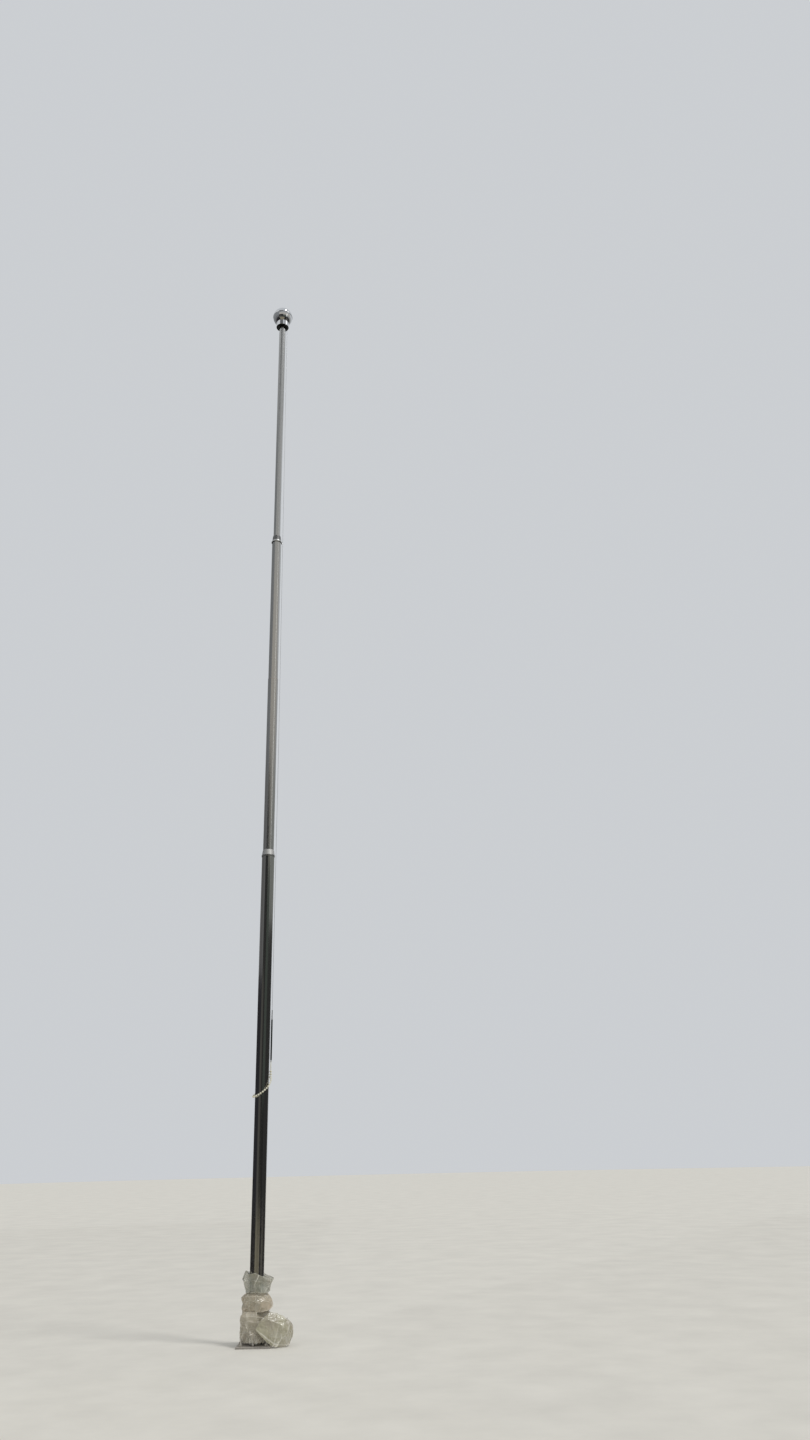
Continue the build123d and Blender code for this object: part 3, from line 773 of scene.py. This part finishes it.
# How deep the hollows between folds are, over a grid of rows and columns
def foldHollow(grid, folds, chance):
    rows, columns = grid
    spots = np.arange(columns) / columns
    hollow = np.zeros(grid)
    for count, drift, depth, middle, reach in folds:
        start = (np.arange(count) + chance.uniform(-0.4, 0.4, count)) / count
        slope = drift * chance.uniform(-0.5, 1.6, count)
        for i in range(rows):
            along = i / (rows - 1)
            crests = np.sort((start + slope * along) % 1.0)
            crests = np.concatenate([[crests[-1] - 1], crests, [crests[0] + 1]])
            k = np.searchsorted(crests, spots, side="right") - 1
            gap = crests[k + 1] - crests[k]
            x = (spots - crests[k]) / np.maximum(gap, 1e-6)
            local = depth * math.exp(-(((along - middle) / reach) ** 2))
            hollow[i] += local * np.minimum(gap * count, 1.6) ** 1.5 * 4 * x * (1 - x)
    return hollow


def soften(grid, rounds, closed):
    for _ in range(rounds):
        side = np.roll(grid, 1, 1) + np.roll(grid, -1, 1)
        if not closed:
            side[:, 0], side[:, -1] = 2 * grid[:, 0], 2 * grid[:, -1]
        grid = 0.5 * grid + 0.25 * side
        padded = np.concatenate([grid[:1], grid, grid[-1:]])
        grid = 0.5 * grid + 0.25 * (padded[:-2] + padded[2:])
    return grid


# Lets the film buckle; held is each point's share of being tied
def crumple(form, closed, held, values):
    rows, columns = form.shape[:2]
    draft = linkMesh("filmDraft", form.reshape(-1, 3).tolist(), ringFaces(rows, columns, closed))
    group = draft.vertex_groups.new(name="held")
    for share in np.unique(held.round(2)):
        if share > 0:
            group.add(np.flatnonzero(np.abs(held - share) < 0.005).tolist(), float(share), "REPLACE")
    cloth = draft.modifiers.new("cloth", "CLOTH")
    settings = cloth.settings
    settings.quality = values["quality"]
    settings.mass = values["mass"]
    settings.tension_stiffness = settings.compression_stiffness = values["stiff"]
    settings.shear_stiffness = values["stiff"] * values["shearShare"]
    settings.bending_stiffness = values["bending"]
    settings.air_damping = values["airDamping"]
    settings.vertex_group_mass = "held"
    settings.shrink_min = -values["growth"]
    settings.effector_weights.gravity = values["weight"]
    cloth.point_cache.frame_end = values["frames"]
    for moment in range(1, values["frames"] + 1):
        scene.frame_set(moment)
    settled = draft.evaluated_get(bpy.context.evaluated_depsgraph_get())
    flat = np.empty(len(draft.data.vertices) * 3)
    settled.data.vertices.foreach_get("co", flat)
    scene.frame_set(1)
    bpy.data.meshes.remove(draft.data)
    return flat.reshape(form.shape)


def makeFilmPiece(name, form, closed, values, material, replaced):
    form = np.repeat(np.repeat(form, 2, axis=0)[1:-1], 2, axis=1)
    form = soften(form if closed else form[:, 1:-1], values["rounding"], closed)
    if "floor" in values:
        form[:, :, 2] = np.maximum(form[:, :, 2], values["floor"])
    rows, columns = form.shape[:2]
    piece = linkMesh(name, form.reshape(-1, 3).tolist(), ringFaces(rows, columns, closed))
    # Where the film bends sharply it is whiter and more opaque: partly the milkier doubled film, partly
    # painted highlight on the crests
    bulge = form - soften(form, values["foldSpan"], closed)
    across = np.cross(np.gradient(form, axis=0), np.gradient(form, axis=1))
    across /= np.maximum(np.linalg.norm(across, axis=2, keepdims=True), 1e-12)
    creaseAndHighlight = np.abs((bulge * across).sum(axis=2)) / values["foldWidth"] - values["foldFloor"]
    # The listed lines paint highlights: whiter stripes at given shares round the sheet, each with its width
    for place, width in values.get("paintedHighlightLines", []):
        highlightLine = np.exp(-(((np.linspace(0, 1, columns) - place) / width) ** 2))
        creaseAndHighlight = np.maximum(creaseAndHighlight, values["highlightLineShare"] * highlightLine)
    layer = piece.data.attributes.new("foldAndHighlight", "FLOAT", "POINT")
    layer.data.foreach_set("value", np.clip(creaseAndHighlight, 0, 1).ravel())
    piece.data.shade_smooth()
    piece.data.materials.append(materials[material])
    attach(piece, "mast")
    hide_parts(replaced)


# A profile row has height and radius at the left (-X), then at the right (+X)
def makeWrapped(name, profile, values, material, replaced):
    chance = np.random.default_rng(values["seed"])
    grid = rows, columns = values["grid"]
    profile = alongRows(profile, rows, values["roundness"])
    leftHeight, leftRadius, rightHeight, rightRadius = profile.T[:, :, None]
    around = 2 * np.pi * np.arange(columns) / columns
    share = 0.5 + 0.5 * np.cos(around)
    height = leftHeight + (rightHeight - leftHeight) * share
    radius = leftRadius + (rightRadius - leftRadius) * share
    hollow = soften(foldHollow(grid, values["folds"], chance), values["softness"], True)
    wave = soften(foldHollow(grid, values["waves"], chance), values["waveSoftness"], True)
    tuck = np.linspace(0, 1, rows)[:, None]
    height = height + values["sway"] * wave
    height = height + values["hemLift"] * hollow * np.exp(-tuck / values["hemShare"])
    radius = np.maximum(radius - hollow, values["core"])
    form = np.stack([radius * np.cos(around), radius * np.sin(around), height], axis=2)
    low, high = values["tied"]
    held = np.clip(np.maximum(1 - tuck / low, 1 - (1 - tuck) / high), 0, 1)
    form = crumple(form, True, np.repeat(held, columns, axis=1).ravel(), values)
    reach = np.hypot(form[:, :, 0], form[:, :, 1])[:, :, None]
    most = np.interp(form[:, :, 2:], *values["limit"])
    form[:, :, :2] *= np.clip(reach, values["core"], most) / reach
    makeFilmPiece(name, form, True, values, material, replaced)


# A set of folds has a count, a drift round the mast, a depth, the share of the height where it is deepest and
# a reach
skirtValues = {
    **filmValues, "seed": 11, "grid": (54, 152), "roundness": 0.8, "flat": (1.00, 0.30),
    "folds": [(8, 0.22, 0.010, 0.6, 0.5), (18, 0.06, 0.004, 1.0, 0.3), (16, 0.05, 0.004, 0.0, 0.22)],
    "waves": [(6, 0.2, 0.01, 0.5, 1.0)], "sway": -0.6, "hemLift": 1.4,
    "limit": ((0.07, 0.12), (0.147, 0.164)), "tied": (0.04, 0.08),
}
skirtProfile = [
    (0.044, 0.150, 0.044, 0.150), (0.075, 0.153, 0.075, 0.152), (0.120, 0.161, 0.120, 0.155),
    (0.175, 0.164, 0.175, 0.156), (0.225, 0.164, 0.222, 0.153), (0.262, 0.157, 0.255, 0.145),
    (0.290, 0.136, 0.282, 0.122), (0.306, 0.108, 0.304, 0.098), (0.316, 0.088, 0.318, 0.086),
]
rollValues = {
    **filmValues, "seed": 5, "grid": (42, 148), "roundness": 0.9, "flat": (0.92, 0.21),
    "folds": [(5, 0.45, 0.012, 0.5, 0.5), (16, 0.1, 0.004, 0.0, 0.25), (18, -0.1, 0.004, 1.0, 0.25)],
    "waves": [(5, 0.2, 0.01, 0.5, 1.0)], "sway": -0.8,
    "limit": ((0.0, 1.0), (0.156, 0.156)), "tied": (0.08, 0.08),
}
rollProfile = [
    (0.292, 0.092, 0.283, 0.092), (0.296, 0.122, 0.296, 0.122), (0.318, 0.132, 0.322, 0.142),
    (0.352, 0.132, 0.356, 0.151), (0.390, 0.143, 0.392, 0.150), (0.420, 0.140, 0.420, 0.138),
    (0.440, 0.114, 0.440, 0.114), (0.452, 0.090, 0.452, 0.090),
]
cuffValues = {
    **filmValues, "seed": 3, "grid": (48, 146), "roundness": 0.25, "flat": (0.90, 0.26),
    "folds": [(7, 0.3, 0.012, 0.6, 0.7), (5, -0.5, 0.008, 0.4, 0.6), (16, 0.1, 0.004, 0.0, 0.25)],
    "waves": [(5, 0.2, 0.012, 0.8, 0.6)], "sway": -1.0,
    "limit": ((0.0, 1.0), (0.158, 0.158)), "tied": (0.08, 0.12), "growth": 0.12, "weight": 0.2,
}
cuffProfile = [
    (0.436, 0.106, 0.438, 0.110), (0.452, 0.112, 0.450, 0.134), (0.508, 0.124, 0.500, 0.148),
    (0.553, 0.136, 0.548, 0.152), (0.592, 0.122, 0.572, 0.154), (0.624, 0.108, 0.592, 0.152),
    (0.606, 0.088, 0.588, 0.106), (0.570, 0.075, 0.560, 0.078),
]
makeWrapped("filmSkirt", skirtProfile, skirtValues, "skirtFilm", "film_skirt")
makeWrapped("filmRoll", rollProfile, rollValues, "rollFilm", "film_roll")
makeWrapped("filmCuff", cuffProfile, cuffValues, "cuffFilm", "film_cuff")

bundleValues = {  # tip: share along, share round, rise
    **filmValues, "seed": 8, "grid": (48, 124), "roundness": 0.85, "flat": (0.62, 0.42), "deepest": 0.5,
    "folds": [(4, 0.12, 0.005, 0.5, 0.6), (14, 0.05, 0.004, 0.0, 0.2)],
    # The lines listed next are painted highlights: whiter stripes along the bundle's free rim and its ridge,
    # as a share round and a width
    "paintedHighlightLines": [(0.06, 0.008), (0.36, 0.008)], "floor": 0.003, "growth": 0.10, "frames": 30,
    "tip": (0.62, 0.50, 0.030), "tipSpread": (0.05, 0.03), "tipLean": 0.5,
    "tiedRows": (3, 2), "tiedLow": (0.5, 0.02),
}
bundleStations = [  # lower corner x, z, upper corner x, z, front y, back y
    (0.016, 0.150, 0.048, 0.206, -0.158, -0.150), (0.046, 0.118, 0.086, 0.250, -0.162, -0.110),
    (0.086, 0.084, 0.132, 0.276, -0.160, -0.060), (0.125, 0.050, 0.184, 0.268, -0.152, -0.020),
    (0.164, 0.022, 0.232, 0.250, -0.142, 0.010), (0.208, 0.006, 0.276, 0.222, -0.130, 0.028),
    (0.254, 0.004, 0.312, 0.188, -0.104, 0.034), (0.298, 0.012, 0.336, 0.152, -0.070, 0.024),
    (0.322, 0.044, 0.340, 0.112, -0.036, 0.004), (0.332, 0.070, 0.336, 0.086, -0.020, -0.012),
]
bundleSection = [  # share of the way up, and from front to back: free rim, panel, ridge, top, back
    (0.07, -0.84), (0.00, -1.00), (0.08, -0.90), (0.24, -0.72), (0.44, -0.66), (0.60, -0.78), (0.72, -0.94),
    (0.80, -0.74), (0.90, -0.50), (1.00, -0.05), (0.94, 0.45), (0.72, 0.90), (0.42, 1.00), (0.16, 0.72),
    (0.03, 0.10), (0.04, -0.50), (0.08, -0.78),
]


def makeBundle(stations, section, values):
    chance = np.random.default_rng(values["seed"])
    grid = rows, columns = values["grid"]
    lowX, lowZ, highX, highZ, front, back = alongRows(stations, rows, 1.0).T[:, :, None]
    up, depth = alongRows(section, columns, values["roundness"]).T[:, None]
    across = (front + back) / 2 + (back - front) / 2 * depth
    form = np.stack([lowX + (highX - lowX) * up, across, lowZ + (highZ - lowZ) * up], axis=2)
    middle = form.mean(axis=1, keepdims=True)
    hollow = soften(foldHollow(grid, values["folds"], chance), values["softness"], False)[:, :, None]
    reach = np.linalg.norm(form - middle, axis=2, keepdims=True)
    form = middle + (form - middle) * (1 - np.minimum(hollow / np.maximum(reach, 0.01), values["deepest"]))
    (rowShare, columnShare, rise), (rowSpread, columnSpread) = values["tip"], values["tipSpread"]
    tipRow = np.exp(-np.abs(np.linspace(0, 1, rows) - rowShare) / rowSpread)[:, None]
    tipColumn = np.exp(-np.abs(np.linspace(0, 1, columns) - columnShare) / columnSpread)
    form[:, :, 2] += rise * tipRow * tipColumn
    form[:, :, 0] += values["tipLean"] * rise * tipRow * tipColumn
    (first, last), (share, height) = values["tiedRows"], values["tiedLow"]
    fromEnd = np.abs(np.arange(rows) - rows + 1)
    tied = np.clip(np.maximum(1 - np.arange(rows) / first, 1 - fromEnd / last), 0, 1)
    held = np.maximum(tied[:, None], np.clip(share - form[:, :, 2] / height, 0, 1))
    form = crumple(form, False, held.ravel(), values)
    makeFilmPiece("filmBundle", form, False, values, "bundleFilm", "film_bundle")


makeBundle(bundleStations, bundleSection, bundleValues)
print("film wrapped and crumpled")


# Stage: a pale floor and surround, a soft key and a strip lamp. Azimuths go from the camera's side towards +X
studioValues = {
    "surround": (0.60, 0.62, 0.645), "floor": (0.70, 0.67, 0.60), "floorReach": 90.0, "floorRings": 24,
    "floorSides": 96, "floorRough": 0.9, "floorGloss": 0.2, "cloudScale": 1.6, "cloudTones": (0.94, 1.04),
    "keyAzimuth": 58.0, "keyHeight": 63.0, "keyStrength": 1.15, "keySpread": 10.0,
}
stripValues = {"azimuth": 54.0, "distance": 14.0, "width": 2.0, "bottom": 8.6, "top": 17.0, "watts": 40.0}
# Curved cards that show only in the steel, as a studio's flags do: five on the floor and the others upright
cardValues = {"near": 1.2, "reach": 21, "lowest": 0.03, "steps": 24}
floorCards = {  # azimuth range, tone
    "leftFloor": (-178, -38, (0.022, 0.02, 0.02)),
    "warmFloor": (-38, 32, (0.235, 0.213, 0.155)),
    "shadedFloor": (32, 60, (0.022, 0.02, 0.02)),
    "rightFloor": (60, 94, (0.1, 0.093, 0.08)),
    "farFloor": (94, 150, (0.022, 0.02, 0.02)),
}
wallCards = {  # azimuth range, bottom, top, tone
    "left": (-178, -46, 0.03, 6.5, (0.035, 0.035, 0.04)),
    "leftStripe": (-46, -12, 0.03, 6.5, (0.10, 0.097, 0.09)),
    "front": (-12, 9, 0.03, 13, (0.04, 0.04, 0.04)),
    "darkBand": (-40, -12, 6.5, 13, (0.04, 0.04, 0.04)),
    "leftHaze": (-178, -40, 6.5, 13, (0.17, 0.17, 0.175)),
    "low": (9, 50, 0.03, 3.2, (0.028, 0.028, 0.028)),
    "green": (9, 50, 3.2, 9.8, (0.085, 0.10, 0.09)),
    "right": (50, 150, 0.03, 8, (0.045, 0.045, 0.045)),
    "middleHaze": (9, 50, 9.8, 13, (0.295, 0.287, 0.265)),
    "rightHaze": (50, 150, 8, 13, (0.28, 0.29, 0.28)),
    "leftSky": (-178, -34, 13, 26, (0.24, 0.25, 0.26)),
    "middleSky": (-34, 96, 13, 20.5, (0.475, 0.452, 0.415)),
    "upperSky": (-34, 96, 20.5, 26, (0.445, 0.455, 0.46)),
    "rightSky": (96, 170, 13, 17, (0.45, 0.455, 0.46)),
    "leftTop": (-178, -24, 26, 30.2, (0.36, 0.37, 0.38)),
    "topLine": (-24, -12, 26, 30.2, (0.06, 0.06, 0.065)),
    "rightTop": (-12, 170, 26, 30.2, (0.42, 0.43, 0.44)),
    "truckLeft": (-88, -44, 30.2, 40, (0.75, 0.76, 0.77)),
    "truckShade": (-44, 14, 30.2, 40, (0.14, 0.145, 0.15)),
    "truckRight": (42, 66, 30.2, 40, (0.22, 0.22, 0.23)),
    "truckGlint": (66, 90, 30.2, 40, (1.5, 1.5, 1.5)),
}


def direction(azimuth, height=0.0):
    a, e = math.radians(azimuth), math.radians(height)
    return Vector((math.sin(a) * math.cos(e), -math.cos(a) * math.cos(e), math.sin(e)))


def makeSurround(values):
    world = bpy.data.worlds.new("paleSurround")
    world.use_nodes = True
    backing = world.node_tree.nodes["Background"].inputs
    feed(world.node_tree, backing, {"Color": (*values["surround"], 1), "Strength": 1.0})
    scene.world = world


def makeFloor(values):
    rings, around = values["floorRings"], values["floorSides"]
    points = [(0.0, 0.0, 0.0)]
    for i in range(1, rings + 1):
        radius = values["floorReach"] * (i / rings) ** 2.2  # closer rings near the pole
        points += [polarPoint(radius, a, 0.0) for a in turnsOf(around)]
    faces = [(0, 1 + j, 1 + (j + 1) % around) for j in range(around)]
    faces += [tuple(k + 1 for k in reversed(face)) for face in ringFaces(rings, around)]
    floor = linkMesh("paleFloor", points, faces)
    material, tree, shader = newMaterial("paleFloor")
    cloud = noiseOf(tree, ownPlace(tree), values["cloudScale"], 6.0, 0.6)
    tone = remap(tree, cloud, 0.3, 0.7, *values["cloudTones"])
    colour = mixColour(tree, 1.0, (*values["floor"], 1), tone, blend="MULTIPLY")
    rough, gloss = values["floorRough"], values["floorGloss"]
    feed(tree, shader, {"Base Color": colour, "Roughness": rough, "Specular IOR Level": gloss})
    floor.data.materials.append(material)


# A lamp that shines against the given direction
def makeLamp(name, kind, energy, out, place=(0, 0, 0)):
    data = bpy.data.lights.new(name, kind)
    data.energy = energy
    lamp = bpy.data.objects.new(name, data)
    lamp.location = place
    lamp.rotation_euler = (-out).to_track_quat("-Z", "Y").to_euler()
    scene.collection.objects.link(lamp)
    return lamp


def makeKey(values):
    out = direction(values["keyAzimuth"], values["keyHeight"])
    key = makeLamp("softKey", "SUN", values["keyStrength"], out)
    key.data.angle = math.radians(values["keySpread"])


def makeStrip(values):
    bottom, top = values["bottom"], values["top"]
    out = direction(values["azimuth"])
    place = out * values["distance"] + Vector((0, 0, (top + bottom) / 2))
    strip = makeLamp("rightStrip", "AREA", values["watts"], out, place)
    strip.data.shape = "RECTANGLE"
    strip.data.size, strip.data.size_y = values["width"], top - bottom
    strip.visible_camera = False


# A curved card between two azimuths, with a (reach, height) profile
def makeCard(name, start, end, profile, tone, steps):
    points = []
    for reach, height in profile:
        for i in range(steps + 1):
            out = direction(start + (end - start) * i / steps) * reach
            points.append((out.x, out.y, height))
    card = linkMesh(name, points, ringFaces(len(profile), steps + 1, closed=False))
    material, tree, _ = newMaterial(name)
    tree.nodes.remove(tree.nodes["Principled BSDF"])
    glow = addNode(tree, "Emission", {"Color": (*tone, 1), "Strength": 1.0}).outputs[0]
    feed(tree, tree.nodes["Material Output"].inputs, {"Surface": glow})
    card.data.materials.append(material)
    card.visible_camera = card.visible_diffuse = card.visible_shadow = card.visible_transmission = False


def makeCards(values):
    reach, lowest = values["reach"], values["lowest"]
    flat = [(values["near"], lowest), (reach, lowest)]
    for name, (start, end, tone) in floorCards.items():
        makeCard(name + "Flag", start, end, flat, tone, values["steps"])
    for name, (start, end, bottom, top, tone) in wallCards.items():
        makeCard(name + "Flag", start, end, [(reach, bottom), (reach, top)], tone, values["steps"])


makeSurround(studioValues)
makeFloor(studioValues)
makeKey(studioValues)
makeStrip(stripValues)
makeCards(cardValues)
print("stage and lamps set")

bpy.context.view_layer.update()
